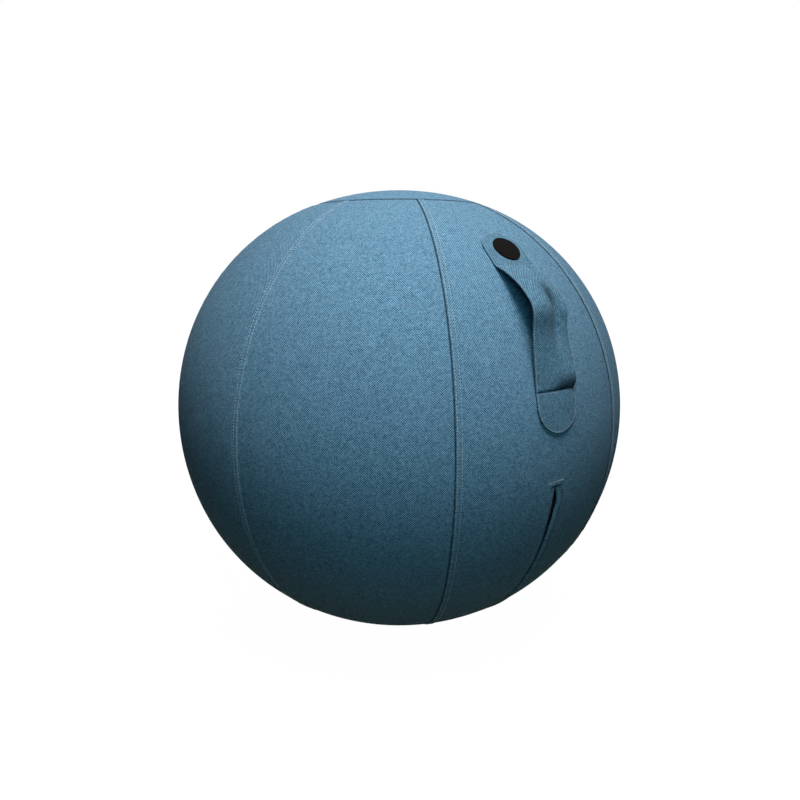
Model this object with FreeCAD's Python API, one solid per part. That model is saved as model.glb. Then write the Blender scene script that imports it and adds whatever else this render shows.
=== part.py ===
import FreeCAD, Part
import math
import os

from FreeCAD import Vector

# Lengths are in millimetres and angles in degrees.
# The ball stands on z = 0 with its middle over the origin. Its zip and carry loop face -Y.
# A normal angle says where on a meridian a point is: 0 is the top, 90 the equator, 180 the base.

# Cover: a ball of eight gores with a round crown and a round base, flattened at both
equator_radius = 325.0
belly_flattening = 8.3
belly_half_angle = 19.3
shoulder_tightening = 19.5
cap_seam_radius = 119.0
floor_patch_radius = 46.0
gore_names = ("front", "front_right", "right", "back_right", "back", "back_left", "left", "front_left")
cover_thickness = 1.6
seam_gap = 0.04

# Grip dots under the base
dot_radius = 3.0
dot_height = 0.8
dot_pitch = 18.0
dot_rings = 2

# Bladder and its valve, which is reached through the open zip
liner_gap = 1.2
bladder_wall = 1.6
valve_angle = 128.0
valve_body_radius = 5.5
valve_bore_radius = 2.9
valve_length = 13.0
valve_flange_radius = 9.0
valve_flange_thickness = 1.8
valve_flange_gap = 0.2
valve_recess_radius = 4.6
valve_recess_depth = 1.3
plug_clearance = 0.1
plug_head_clearance = 0.3
plug_length = 9.0

# Slit in the front gore, whose edges are folded under and stitched
slit_top_angle = 92.5
slit_width = 4.4
fold_width = 10.8

# Zip under the slit: heights are counted outwards from the middle of the chain
chain_depth = 6.6
arc_angles = (96.0, 122.0, 156.0)
tape_top_angle = 93.0
tape_bottom_angle = 158.0
chain_top_angle = 94.1
chain_bottom_angle = 156.9
tape_thickness = 0.6
tape_edge_x = 13.5
tape_ramp_foot_x = 6.2
tape_ramp_head_x = 9.0
tape_lift = 2.3
tooth_pitch = 3.5
tooth_width = 2.0
tooth_length = 1.8
tooth_half_height = 0.9
rail_width = 1.1
chain_gap = 1.0
stop_length = 3.2
stop_half_height = 1.2

# Slider and pull tab
slider_clearance = 0.3
slider_plate = 1.2
slider_half_width = 4.6
slider_lip_width = 0.7
slider_length = 11.0
slider_post_width = 0.5
slider_post_length = 3.0
bridge_width = 1.2
bridge_length = 6.4
bridge_post = 1.2
bridge_bar = 0.8
bridge_window = 1.8
pull_bar_radius = 0.6
pull_width = 3.2
pull_thickness = 1.0
pull_eye_length = 5.2
pull_length = 21.0

# Guard flap between the zip and the bladder
guard_thickness = 0.8
guard_drop = 2.9
guard_half_width = 14.5
guard_foot_x = 6.0
guard_head_x = 10.2
guard_edge_drop = 0.4
dent_clearance = 0.6
dent_side_clearance = 0.7
trough_end_gap = 6.0

# Carry loop: a strap sewn down at both ends and bowed out between them
strap_width = 58.0
strap_thickness = 1.4
strap_lining = 1.2
upper_seam_angle = 46.6
upper_end_angle = 42.4
lower_seam_angle = 74.4
lower_end_angle = 77.5
sewn_gap = 0.1
loop_gap = 0.4
loop_end_gap = 0.6
knee_angle = 59.5
knee_lift = 23.0
knee_radius = 11.0
crown_angle = 54.3
crown_lift = 18.5
crown_radius = 60.0
hang_angle = 64.2
hang_lift = 12.0
hang_radius = 90.0
patch_margin = 6.0
patch_thickness = 0.7

# Round badge on the upper end of the strap
badge_radius = 17.5
badge_thickness = 1.6
badge_edge = 0.4

OUT = "parts"
X_AXIS = Vector(1, 0, 0)
Z_AXIS = Vector(0, 0, 1)


def sin(degrees):
    return math.sin(math.radians(degrees))


def cos(degrees):
    return math.cos(math.radians(degrees))


# Meridian arcs, each as centre radius, centre height over the equator, arc radius, first and last normal angle
belly_radius = equator_radius + belly_flattening
shoulder_radius = equator_radius - shoulder_tightening
belly_centre = equator_radius - belly_radius
shoulder_centre = belly_centre + (belly_radius - shoulder_radius) * cos(belly_half_angle)
shoulder_rise = (belly_radius - shoulder_radius) * sin(belly_half_angle)
cap_angle = math.degrees(math.asin((cap_seam_radius - shoulder_centre) / shoulder_radius))
cap_seam_rise = shoulder_rise + shoulder_radius * cos(cap_angle)
crown_arc_radius = cap_seam_radius / sin(cap_angle)
base_arc_radius = (cap_seam_radius - floor_patch_radius) / sin(cap_angle)
equator_height = dot_height + cap_seam_rise + base_arc_radius * (1 - cos(cap_angle))
meridian = (
    (0.0, cap_seam_rise - crown_arc_radius * cos(cap_angle), crown_arc_radius, 0.0, cap_angle),
    (shoulder_centre, shoulder_rise, shoulder_radius, cap_angle, 90 - belly_half_angle),
    (belly_centre, 0.0, belly_radius, 90 - belly_half_angle, 90 + belly_half_angle),
    (shoulder_centre, -shoulder_rise, shoulder_radius, 90 + belly_half_angle, 180 - cap_angle),
    (floor_patch_radius, base_arc_radius * cos(cap_angle) - cap_seam_rise, base_arc_radius, 180 - cap_angle, 180.0),
)

# Layers, as offsets outwards from the cover's outer face
cover_inner = -cover_thickness
bladder_outer = cover_inner - liner_gap
bladder_inner = bladder_outer - bladder_wall
gore_angle = 360.0 / len(gore_names)


def save(node, shape):
    """Write one node and print its solids, its volume in cubic centimetres and its box."""
    shape.exportStep(os.path.join(OUT, node + ".step"))
    box = shape.BoundBox
    valid = "valid" if shape.isValid() else "NOT VALID"
    print(f"{node:22s} {len(shape.Solids):3d} solids {shape.Volume / 1000:9.2f} cm3 {valid}"
          f"  z {box.ZMin:7.2f} to {box.ZMax:7.2f}")


def on_meridian(angle, offset=0.0):
    """Radius and height of the point with this normal angle, offset outwards from the cover."""
    for centre, rise, radius, first, last in meridian:
        if first <= angle <= last:
            break
    reach = radius + offset
    return centre + reach * sin(angle), equator_height + rise + reach * cos(angle)


def in_front(radius, height):
    """A point of the YZ plane, on the zip's side of the ball."""
    return Vector(0, -radius, height)


def front_point(angle, offset=0.0):
    return in_front(*on_meridian(angle, offset))


def meridian_edges(first, last, offset):
    """Arcs of the meridian between two normal angles, with the flat under the base where they reach it."""
    edges = []
    for _, _, _, low, high in meridian:
        start = max(first, low)
        end = min(last, high)
        if end - start > 1e-6:
            points = [front_point(angle, offset) for angle in (start, (start + end) / 2, end)]
            edges.append(Part.Arc(*points).toShape())
    if last == 180.0:
        rim = front_point(180.0, offset)
        edges.append(Part.LineSegment(rim, Vector(0, 0, rim.z)).toShape())
    return edges


def line(start, end):
    return Part.LineSegment(start, end).toShape()


def start_of(edge):
    return edge.valueAt(edge.FirstParameter)


def end_of(edge):
    return edge.valueAt(edge.LastParameter)


def face_of(edges):
    return Part.Face(Part.Wire(Part.__sortEdges__(edges)))


def shell_face(first, last, outer, inner):
    """Section of a shell between two offsets and two normal angles."""
    outside = meridian_edges(first, last, outer)
    inside = meridian_edges(first, last, inner)
    ends = [line(start_of(outside[0]), start_of(inside[0])), line(end_of(outside[-1]), end_of(inside[-1]))]
    return face_of(outside + inside + ends)


def sector(face, centre_azimuth, width):
    """Turn a section about the ball's axis through a width in degrees, centred on an azimuth from -Y."""
    turned = face.rotated(Vector(0, 0, 0), Z_AXIS, centre_azimuth - width / 2)
    return turned.revolve(Vector(0, 0, 0), Z_AXIS, width)


def ball_inside(offset):
    """The whole solid within an offset of the cover's outer face."""
    edges = meridian_edges(0.0, 180.0, offset)
    edges.append(line(end_of(edges[-1]), start_of(edges[0])))
    return face_of(edges).revolve(Vector(0, 0, 0), Z_AXIS, 360)


def circle_through(first, middle, last):
    """Centre and radius of the circle in the YZ plane through three points."""
    circle = Part.Arc(first, middle, last).toShape().Curve
    return circle.Center, circle.Radius


# The zip runs on one true arc under the cover, so that its slider can follow it
zip_centre, zip_radius = circle_through(*[front_point(angle, -chain_depth) for angle in arc_angles])


def zip_point(angle, x, height):
    """A point of the zip: its angle from straight up, its place across and its height over the chain."""
    reach = zip_radius + height
    return zip_centre + Vector(x, -reach * sin(angle), reach * cos(angle))


def along_zip(length):
    """The angle that a length takes on the chain."""
    return math.degrees(length / zip_radius)


def zip_run(outline, first, last):
    """Carry an outline of places across and heights along the zip's arc."""
    points = [zip_point(first, x, height) for x, height in outline]
    face = Part.Face(Part.makePolygon(points + points[:1]))
    return face.revolve(zip_centre, X_AXIS, last - first)


def rectangle(x0, x1, low, high):
    return [(x0, low), (x1, low), (x1, high), (x0, high)]


def mirrored(outline):
    return [(-x, height) for x, height in outline]


def upright_on_zip(shape, angle, height):
    """Set a shape drawn about +Z, with -Y down the zip, at an angle and height on the zip."""
    placed = shape.rotated(Vector(0, 0, 0), X_AXIS, angle)
    return placed.translated(zip_point(angle, 0, height))


# Trough in the bladder that makes room for the zip and its guard
guard_edge_height = tape_lift - tape_thickness / 2 - guard_edge_drop
guard_top = [(-guard_half_width, guard_edge_height), (-guard_head_x, guard_edge_height),
             (-guard_foot_x, -guard_drop), (guard_foot_x, -guard_drop),
             (guard_head_x, guard_edge_height), (guard_half_width, guard_edge_height)]
trough_edge_x = guard_half_width + dent_side_clearance
trough_lid = 2 * chain_depth
trough_floor = [(x + math.copysign(dent_clearance, x), height - guard_thickness - dent_clearance)
                for x, height in guard_top[1:-1]]
shelf_height = trough_floor[0][1]
valve_height = trough_floor[1][1]


def trough(wall):
    """Solid of the trough, widened and deepened by a wall."""
    middle = [(x + math.copysign(wall / 2, x), height - wall) for x, height in trough_floor]
    edge = trough_edge_x + wall
    sides_left = [(-edge, trough_lid), (-edge, shelf_height - wall)]
    sides_right = [(edge, shelf_height - wall), (edge, trough_lid)]
    ends = along_zip(trough_end_gap + wall)
    return zip_run(sides_left + middle + sides_right, slit_top_angle - ends, 180 - cap_angle + ends)


def make_gore(index):
    """One gore of the cover: a shell between the crown and the base."""
    half_gap = math.degrees(seam_gap / 2 / shoulder_radius)
    section = shell_face(cap_angle + half_gap, 180 - cap_angle - half_gap, 0, cover_inner)
    return sector(section, index * gore_angle, gore_angle)


def make_front_gore():
    """The gore with the slit: its edges are folded under for the zip."""
    fold_half = slit_width / 2 + fold_width
    band = sector(shell_face(slit_top_angle, 180 - cap_angle - 0.3, -cover_thickness / 2, 2 * cover_inner),
                  0, gore_angle / 2)
    strip = Part.makeBox(2 * fold_half, equator_radius, equator_height,
                         Vector(-fold_half, -equator_radius - 10, 0))
    folded = band.common(strip)
    bottom_angle = 181 - cap_angle
    corners = [front_point(slit_top_angle, 20), front_point(slit_top_angle, -20),
               front_point(bottom_angle, -20), front_point(bottom_angle, 20),
               in_front(equator_radius + 20, front_point(bottom_angle, 20).z)]
    opening = Part.Face(Part.makePolygon(corners + corners[:1])).extrude(Vector(slit_width, 0, 0))
    opening.translate(Vector(-slit_width / 2, 0, 0))
    return make_gore(0).fuse(folded).cut(opening).removeSplitter()


def make_crown():
    half_gap = math.degrees(seam_gap / 2 / shoulder_radius)
    return sector(shell_face(0.0, cap_angle - half_gap, 0, cover_inner), 0, 360)


def make_base():
    half_gap = math.degrees(seam_gap / 2 / shoulder_radius)
    return sector(shell_face(180 - cap_angle + half_gap, 180.0, 0, cover_inner), 0, 360)


def make_grip_dots():
    """Round dots in rings about the middle one, all in one plane on the floor."""
    dots = [Part.makeCylinder(dot_radius, dot_height)]
    for ring in range(1, dot_rings + 1):
        count = 6 * ring
        for step in range(count):
            turn = 360.0 * step / count
            place = Vector(ring * dot_pitch * cos(turn), ring * dot_pitch * sin(turn), 0)
            dots.append(Part.makeCylinder(dot_radius, dot_height, place))
    return Part.makeCompound(dots)


def make_bladder():
    """Inflated ball with the zip's trough pressed into it and a hole for the valve."""
    outside = ball_inside(bladder_outer).cut(trough(0))
    inside = ball_inside(bladder_inner).cut(trough(bladder_wall))
    hole = Part.makeCylinder(valve_body_radius, 4 * bladder_wall, Vector(0, 0, -2 * bladder_wall))
    return outside.cut(inside).cut(upright_on_zip(hole, valve_angle, valve_height))


def make_valve_seat():
    """Moulded socket: a tube through the bladder wall with a flange inside it."""
    body = Part.makeCylinder(valve_body_radius, valve_length, Vector(0, 0, -valve_length))
    flange_top = -bladder_wall - valve_flange_gap
    flange = Part.makeCylinder(valve_flange_radius, valve_flange_thickness,
                               Vector(0, 0, flange_top - valve_flange_thickness))
    bore = Part.makeCylinder(valve_bore_radius, valve_length + 2, Vector(0, 0, -valve_length - 1))
    recess = Part.makeCylinder(valve_recess_radius, valve_recess_depth + 1, Vector(0, 0, -valve_recess_depth))
    return upright_on_zip(body.fuse(flange).cut(bore).cut(recess), valve_angle, valve_height)


def make_valve_plug():
    """Stopper: a stem in the socket's bore under a flat head in its recess."""
    head_height = valve_recess_depth - plug_clearance
    head = Part.makeCylinder(valve_recess_radius - plug_head_clearance, head_height, Vector(0, 0, -head_height))
    stem = Part.makeCylinder(valve_bore_radius - plug_clearance, plug_length, Vector(0, 0, -plug_length))
    return upright_on_zip(head.fuse(stem), valve_angle, valve_height)


def make_zip_guard():
    """Flap that keeps the zip off the bladder."""
    underside = [(x, height - guard_thickness) for x, height in reversed(guard_top)]
    return zip_run(guard_top + underside, tape_top_angle, tape_bottom_angle)


rail_x = chain_gap / 2 + tooth_length
tape_x = rail_x + rail_width


def make_tape(side):
    """One tape of the zip, raised at its outer edge to meet the folded slit."""
    half = tape_thickness / 2
    top = [(tape_x, half), (tape_ramp_foot_x, half), (tape_ramp_head_x, tape_lift + half),
           (tape_edge_x, tape_lift + half)]
    outline = top + [(x, height - tape_thickness) for x, height in reversed(top)]
    return zip_run(outline if side > 0 else mirrored(outline), tape_top_angle, tape_bottom_angle)


def make_teeth(side):
    """One row of teeth on its rail, half a pitch ahead on the left."""
    outline = rectangle(rail_x, tape_x, -tooth_half_height, tooth_half_height)
    row = zip_run(outline if side > 0 else mirrored(outline), chain_top_angle, chain_bottom_angle)
    bite = 0.3 * rail_width
    block = Part.makeBox(tooth_length + bite, tooth_width, 2 * tooth_half_height,
                         Vector(chain_gap / 2, -tooth_width / 2, -tooth_half_height))
    if side < 0:
        block = block.mirror(Vector(0, 0, 0), X_AXIS)
    step = along_zip(tooth_pitch)
    first = chain_top_angle + step * (0.5 if side > 0 else 1.0)
    count = int((chain_bottom_angle - first) / step)
    teeth = [upright_on_zip(block, first + index * step, 0) for index in range(count)]
    return row.fuse(teeth)


def make_stop(first):
    """Metal bar clamped across both rows at an end of the chain."""
    outline = rectangle(-tape_x, tape_x, -stop_half_height, stop_half_height)
    return zip_run(outline, first, first + along_zip(stop_length))


top_stop_angle = chain_top_angle - along_zip(stop_length + 0.3)
bottom_stop_angle = chain_bottom_angle + along_zip(0.3)
slider_angle = chain_top_angle + along_zip(0.6)
plate_low = tooth_half_height + slider_clearance
plate_high = plate_low + slider_plate
bridge_angle = slider_angle + along_zip(2.4)
pivot_angle = bridge_angle + along_zip(bridge_post + pull_bar_radius + slider_clearance)
pivot_height = plate_high + bridge_window / 2


def make_slider():
    """Zip slider: two plates with rolled lips, the post between the rows, and the bridge for the tab."""
    end = slider_angle + along_zip(slider_length)
    lip_inner = slider_half_width - slider_lip_width
    lip_low = tape_thickness / 2 + slider_clearance
    overlap = slider_plate / 4
    outlines = []
    for up in (1, -1):
        plate = rectangle(-slider_half_width, slider_half_width, plate_low, plate_high)
        lip_right = rectangle(lip_inner, slider_half_width, lip_low, plate_low + overlap)
        outlines += [[(x, up * height) for x, height in shape] for shape in (plate, lip_right, mirrored(lip_right))]
    parts = [zip_run(outline, slider_angle, end) for outline in outlines]
    post = rectangle(-slider_post_width / 2, slider_post_width / 2, -plate_low - overlap, plate_low + overlap)
    parts.append(zip_run(post, slider_angle, slider_angle + along_zip(slider_post_length)))
    half = bridge_width / 2
    bar_low = plate_high + bridge_window
    top = bar_low + bridge_bar
    bridge_end = bridge_angle + along_zip(bridge_length)
    foot = rectangle(-half, half, plate_high - overlap, top)
    parts.append(zip_run(foot, bridge_angle, bridge_angle + along_zip(bridge_post)))
    parts.append(zip_run(foot, bridge_end - along_zip(bridge_post), bridge_end))
    parts.append(zip_run(rectangle(-half, half, bar_low, top), bridge_angle, bridge_end))
    return parts[0].fuse(parts[1:]).removeSplitter()


def make_pull():
    """Pull tab: a bar through the bridge's window, two arms beside the bridge and a narrow rounded tab."""
    half = pull_width / 2
    bar = Part.makeCylinder(pull_bar_radius, pull_width, Vector(-half, 0, 0), X_AXIS)
    straight = pull_length - half
    plate = Part.makeBox(pull_width, straight, pull_thickness, Vector(-half, -straight, -pull_thickness / 2))
    tip = Part.makeCylinder(half, pull_thickness, Vector(0, -straight, -pull_thickness / 2))
    eye_width = bridge_width + 2 * slider_clearance
    eye = Part.makeBox(eye_width, 2 * pull_eye_length, 4 * pull_thickness,
                       Vector(-eye_width / 2, -pull_eye_length, -2 * pull_thickness))
    tab = plate.fuse(tip).cut(eye).fuse(bar)
    return upright_on_zip(tab.removeSplitter(), pivot_angle, pivot_height)


def rounded_path(points, radii):
    """Straight runs joined by tangent arcs; a radius belongs to each inner point."""
    edges = []
    start = points[0]
    for index, radius in enumerate(radii, start=1):
        corner = points[index]
        back = (points[index - 1] - corner).normalize()
        ahead = (points[index + 1] - corner).normalize()
        half_angle = back.getAngle(ahead) / 2
        reach = radius / math.tan(half_angle)
        inward = (back + ahead).normalize()
        middle = corner + inward * (radius / math.sin(half_angle) - radius)
        edges.append(line(start, corner + back * reach))
        edges.append(Part.Arc(corner + back * reach, middle, corner + ahead * reach).toShape())
        start = corner + ahead * reach
    edges.append(line(start, points[-1]))
    return edges


def shifted_path(points, radii, depth):
    """The path moved inwards by a depth, with each bend's radius changed to match."""
    normals = []
    for start, end in zip(points[:-1], points[1:]):
        run = (end - start).normalize()
        normals.append(Vector(0, -run.z, run.y))
    moved = [points[0] + normals[0] * depth]
    for index in range(1, len(points) - 1):
        both = (normals[index - 1] + normals[index]).normalize()
        moved.append(points[index] + both * (depth / both.dot(normals[index])))
    moved.append(points[-1] + normals[-1] * depth)
    new_radii = []
    for index, radius in enumerate(radii, start=1):
        turn = normals[index - 1].cross(normals[index]).x
        new_radii.append(radius - depth * math.copysign(1, turn))
    return moved, new_radii


strap_depth = strap_thickness + seam_gap + strap_lining
loop_foot_lift = strap_depth + loop_gap
loop_points = [front_point(upper_seam_angle, loop_foot_lift), front_point(crown_angle, crown_lift),
               front_point(knee_angle, knee_lift), front_point(hang_angle, hang_lift),
               front_point(lower_seam_angle, loop_foot_lift)]
loop_radii = [crown_radius, knee_radius, hang_radius]


def make_loop_layer(outer_depth, inner_depth):
    """One layer of the bowed stretch, between two depths under its outer face."""
    outside = rounded_path(*shifted_path(loop_points, loop_radii, outer_depth))
    inside = rounded_path(*shifted_path(loop_points, loop_radii, inner_depth))
    ends = [line(start_of(outside[0]), start_of(inside[0])), line(end_of(outside[-1]), end_of(inside[-1]))]
    layer = face_of(outside + inside + ends).extrude(Vector(strap_width, 0, 0))
    return layer.translated(Vector(-strap_width / 2, 0, 0))


def make_tab(seam_angle, end_angle):
    """A sewn end of the strap: it lies on the cover and has a round end."""
    low, high = sorted((seam_angle, end_angle))
    spread = math.degrees(strap_width / 2 / shoulder_radius) + 1
    first = low if end_angle > seam_angle else low - spread
    last = high + spread if end_angle > seam_angle else high
    pad = sector(shell_face(first, last, sewn_gap + strap_depth, sewn_gap), 0, gore_angle)
    run = (front_point(end_angle) - front_point(seam_angle)).normalize()
    outwards = Vector(0, -run.z, run.y)
    if outwards.y > 0:
        outwards = outwards * -1
    half = strap_width / 2
    seam = front_point(seam_angle) + run * loop_end_gap - outwards * half
    centre = front_point(end_angle) - outwards * half
    across = Vector(half, 0, 0)
    straight = [line(seam - across, centre - across), line(centre + across, seam + across),
                line(seam + across, seam - across)]
    end = Part.Arc(centre - across, centre + run * half, centre + across).toShape()
    outline = face_of(straight + [end]).extrude(outwards * strap_width)
    return pad.common(outline)


def make_patch(seam_angle, end_angle):
    """Stiffening patch inside the cover, behind a sewn end of the strap."""
    reach = math.degrees((strap_width / 2 + patch_margin) / shoulder_radius)
    side = 1 if end_angle > seam_angle else -1
    first, last = sorted((seam_angle - side * reach / 4, end_angle + side * reach))
    middle = front_point((first + last) / 2)
    top = cover_inner - seam_gap
    pad = sector(shell_face(first, last, top, top - patch_thickness), 0, gore_angle)
    width = strap_width + 2 * patch_margin
    strip = Part.makeBox(width, equator_radius, 2 * equator_height, Vector(-width / 2, middle.y - 100, 0))
    return pad.common(strip)


def make_badge():
    """Round badge that follows the strap's sewn end, with its rim bevelled."""
    foot = sewn_gap + strap_depth + seam_gap
    cover = sector(shell_face(upper_end_angle - 6, upper_end_angle + 6, foot + badge_thickness, foot), 0, gore_angle)
    axis = (front_point(upper_end_angle, 1) - front_point(upper_end_angle)).normalize()
    start = front_point(upper_end_angle, -badge_radius)
    cone_height = badge_radius + foot + badge_thickness
    core = Part.makeCylinder(badge_radius, 2 * cone_height, start, axis)
    shoulder = badge_radius - badge_edge
    bevel = Part.makeCone(badge_radius + cone_height - badge_edge, shoulder - 2 * badge_edge,
                          cone_height + 2 * badge_edge, start, axis)
    return cover.common(core).common(bevel)


os.makedirs(OUT, exist_ok=True)

save("bladder", make_bladder())
save("valve_seat", make_valve_seat())
save("valve_plug", make_valve_plug())
save("panel_front", make_front_gore())
for number, name in enumerate(gore_names):
    if number > 0:
        save("panel_" + name, make_gore(number))
save("top_cap", make_crown())
save("base_cap", make_base())
save("base_grip_dots", make_grip_dots())

save("zip_guard", make_zip_guard())
for side, name in ((1, "right"), (-1, "left")):
    save("zip_tape_" + name, make_tape(side))
    save("zip_teeth_" + name, make_teeth(side))
save("zip_top_stop", make_stop(top_stop_angle))
save("zip_bottom_stop", make_stop(bottom_stop_angle))
save("zip_slider", make_slider())
save("zip_pull", make_pull())

save("handle_upper_tab", make_tab(upper_seam_angle, upper_end_angle))
save("handle_lower_tab", make_tab(lower_seam_angle, lower_end_angle))
save("handle_loop", make_loop_layer(0, strap_thickness))
save("handle_loop_lining", make_loop_layer(strap_thickness + seam_gap, strap_depth))
save("handle_patch_upper", make_patch(upper_seam_angle, upper_end_angle))
save("handle_patch_lower", make_patch(lower_seam_angle, lower_end_angle))
save("handle_badge", make_badge())

pivot = zip_point(pivot_angle, 0, pivot_height)
print(f"zip arc: centre y {zip_centre.y:.4f} z {zip_centre.z:.4f} radius {zip_radius:.4f}")
print(f"zip travel: {bottom_stop_angle - slider_angle - along_zip(slider_length):.3f} degrees to the bottom stop")
print(f"pull pivot: y {pivot.y:.4f} z {pivot.z:.4f}")
lift = front_point(knee_angle, 1) - front_point(knee_angle)
print(f"loop lift: along y {lift.y:.6f} z {lift.z:.6f}")
print(f"ball: equator at {equator_height:.3f}, top at {on_meridian(0.0)[1]:.3f}")
for name, point in zip(("upper seam", "crown", "knee", "hang", "lower seam"), loop_points):
    print(f"loop {name}: y {point.y:.2f} z {point.z:.2f}")
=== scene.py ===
import bmesh
import bpy
import numpy as np
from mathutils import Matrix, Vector


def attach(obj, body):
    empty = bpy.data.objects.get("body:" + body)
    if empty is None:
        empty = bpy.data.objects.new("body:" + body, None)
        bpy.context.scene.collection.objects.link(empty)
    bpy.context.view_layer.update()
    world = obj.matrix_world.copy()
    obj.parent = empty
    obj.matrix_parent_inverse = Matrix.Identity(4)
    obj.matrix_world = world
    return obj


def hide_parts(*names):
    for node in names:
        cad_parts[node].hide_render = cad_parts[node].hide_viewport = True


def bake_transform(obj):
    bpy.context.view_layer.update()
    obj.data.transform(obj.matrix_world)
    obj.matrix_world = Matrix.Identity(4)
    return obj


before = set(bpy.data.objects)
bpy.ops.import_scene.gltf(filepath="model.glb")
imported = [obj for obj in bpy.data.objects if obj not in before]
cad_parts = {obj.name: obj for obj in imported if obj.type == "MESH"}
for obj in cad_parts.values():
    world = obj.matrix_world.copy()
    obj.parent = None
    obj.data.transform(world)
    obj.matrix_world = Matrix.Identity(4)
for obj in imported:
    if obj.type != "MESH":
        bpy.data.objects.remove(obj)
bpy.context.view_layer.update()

mm = 0.001
ballBody = "ball"
coverSlot = "cover_fabric"
liningSlot = "lining_fabric"


def smoothStep(low, high, value):
    # 0 at low, 1 at high, and 3t^2 - 2t^3 between them
    t = np.clip((value - low) / (high - low), 0, 1)
    return t * t * (3 - 2 * t)


def bell(value, middle, width):
    # a bump that is 1 in the middle and falls as exp(-(distance / width)^2)
    return np.exp(-((value - middle) / width) ** 2)


def curveThrough(knots, values, at):
    # Catmull-Rom curve through the values, read at any places between the first and last knot
    slope = np.gradient(values, knots)
    row = np.clip(np.searchsorted(knots, at) - 1, 0, len(knots) - 2)
    span = knots[row + 1] - knots[row]
    t = np.clip((at - knots[row]) / span, 0, 1)
    return ((2 * t**3 - 3 * t**2 + 1) * values[row] + (t**3 - 2 * t**2 + t) * span * slope[row]
            + (3 * t**2 - 2 * t**3) * values[row + 1] + (t**3 - t**2) * span * slope[row + 1])


def addObject(name, data):
    thing = bpy.data.objects.new(name, data)
    bpy.context.scene.collection.objects.link(thing)
    return thing


def meshObject(name, points, faces, cloth=None, paintedShade=None):
    # points n x 3, faces m x 4 (or m x 3) of indices, cloth n x 2 the flat place of each point in
    # metres, the last n shares of painted shade at seams, hems and hollows
    mesh = bpy.data.meshes.new(name)
    corners = faces.shape[1]
    starts = np.arange(0, faces.size, corners, dtype=np.int32)
    mesh.vertices.add(len(points))
    mesh.vertices.foreach_set("co", points.astype(np.float32).ravel())
    mesh.loops.add(faces.size)
    mesh.loops.foreach_set("vertex_index", faces.astype(np.int32).ravel())
    mesh.polygons.add(len(faces))
    mesh.polygons.foreach_set("loop_start", starts)
    mesh.polygons.foreach_set("loop_total", np.full(len(faces), corners, dtype=np.int32))
    mesh.update(calc_edges=True)
    if cloth is not None:
        layer = mesh.uv_layers.new(name="cloth")
        layer.data.foreach_set("uv", cloth[faces.ravel()].astype(np.float32).ravel())
    if paintedShade is not None:
        # each point's share of painted shade, which the cloth's shader reads
        layer = mesh.attributes.new("paintedShade", "FLOAT", "POINT")
        layer.data.foreach_set("value", paintedShade.astype(np.float32).ravel())
    mesh.polygons.foreach_set("use_smooth", np.ones(len(faces), bool))
    return addObject(name, mesh)


def gridFaces(rows, columns, start=0):
    # four corners of each cell; rows go down, columns go right and the face looks at the reader
    index = start + np.arange(rows * columns).reshape(rows, columns)
    corners = [index[:-1, :-1], index[1:, :-1], index[1:, 1:], index[:-1, 1:]]
    return np.stack(corners, -1).reshape(-1, 4)


def gridObject(name, points, cloth, paintedShade=None):
    rows, columns = points.shape[:2]
    if paintedShade is not None:
        paintedShade = np.broadcast_to(paintedShade, (rows, columns))
    faces = gridFaces(rows, columns)
    return meshObject(name, points.reshape(-1, 3), faces, cloth.reshape(-1, 2), paintedShade)


def weld(thing):
    # joins points that lie on each other and drops the faces that this makes flat
    form = bmesh.new()
    form.from_mesh(thing.data)
    bmesh.ops.remove_doubles(form, verts=form.verts, dist=2e-6)
    bmesh.ops.dissolve_degenerate(form, edges=form.edges, dist=1e-7)
    form.to_mesh(thing.data)
    form.free()
    return thing


def thicken(thing, thickness):
    # gives a sheet its wall on the inner side
    wall = thing.modifiers.new("wall", "SOLIDIFY")
    wall.thickness = thickness
    wall.offset = -1
    wall.use_rim = True
    return thing


def pair(a, b):
    return np.stack(np.broadcast_arrays(a, b), -1)


def surfaceArea(points):
    # sum over the grid's cells of half the cross product of their diagonals
    first = points[1:, 1:] - points[:-1, :-1]
    second = points[1:, :-1] - points[:-1, 1:]
    return float(np.linalg.norm(np.cross(first, second), axis=-1).sum() / 2)


# the ball's form, from the same arcs as the frame's
ball = {
    "equatorRadius": 325.0 * mm, "bellyRadius": 333.3 * mm, "bellyHalfAngle": 19.3,
    "shoulderRadius": 305.5 * mm, "capSeamRadius": 119.0 * mm, "floorPatchRadius": 46.0 * mm,
    "dotHeight": 0.8 * mm, "goreCount": 8,
}


def ballArcs(b):
    # each arc as centre radius, centre rise over the equator, arc radius, first and last angle
    # from the top
    bellyCentre = b["equatorRadius"] - b["bellyRadius"]
    half = np.radians(b["bellyHalfAngle"])
    step = b["bellyRadius"] - b["shoulderRadius"]
    centre = bellyCentre + step * np.cos(half)
    rise = step * np.sin(half)
    cap = np.arcsin((b["capSeamRadius"] - centre) / b["shoulderRadius"])
    seamRise = rise + b["shoulderRadius"] * np.cos(cap)
    crown = b["capSeamRadius"] / np.sin(cap)
    base = (b["capSeamRadius"] - b["floorPatchRadius"]) / np.sin(cap)
    equator = b["dotHeight"] + seamRise + base * (1 - np.cos(cap))
    capTurn = np.degrees(cap)
    arcs = np.array([
        (0, seamRise - crown * np.cos(cap), crown, 0, capTurn),
        (centre, rise, b["shoulderRadius"], capTurn, 90 - b["bellyHalfAngle"]),
        (bellyCentre, 0, b["bellyRadius"], 90 - b["bellyHalfAngle"], 90 + b["bellyHalfAngle"]),
        (centre, -rise, b["shoulderRadius"], 90 + b["bellyHalfAngle"], 180 - capTurn),
        (b["floorPatchRadius"], base * np.cos(cap) - seamRise, base, 180 - capTurn, 180)])
    return arcs, equator, capTurn


arcs, equatorHeight, capAngle = ballArcs(ball)
arcLengths = arcs[:, 2] * np.radians(arcs[:, 4] - arcs[:, 3])
arcEnds = np.cumsum(arcLengths)
fromTopToEquator = arcLengths[0] + arcLengths[1] + arcLengths[2] / 2


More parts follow.
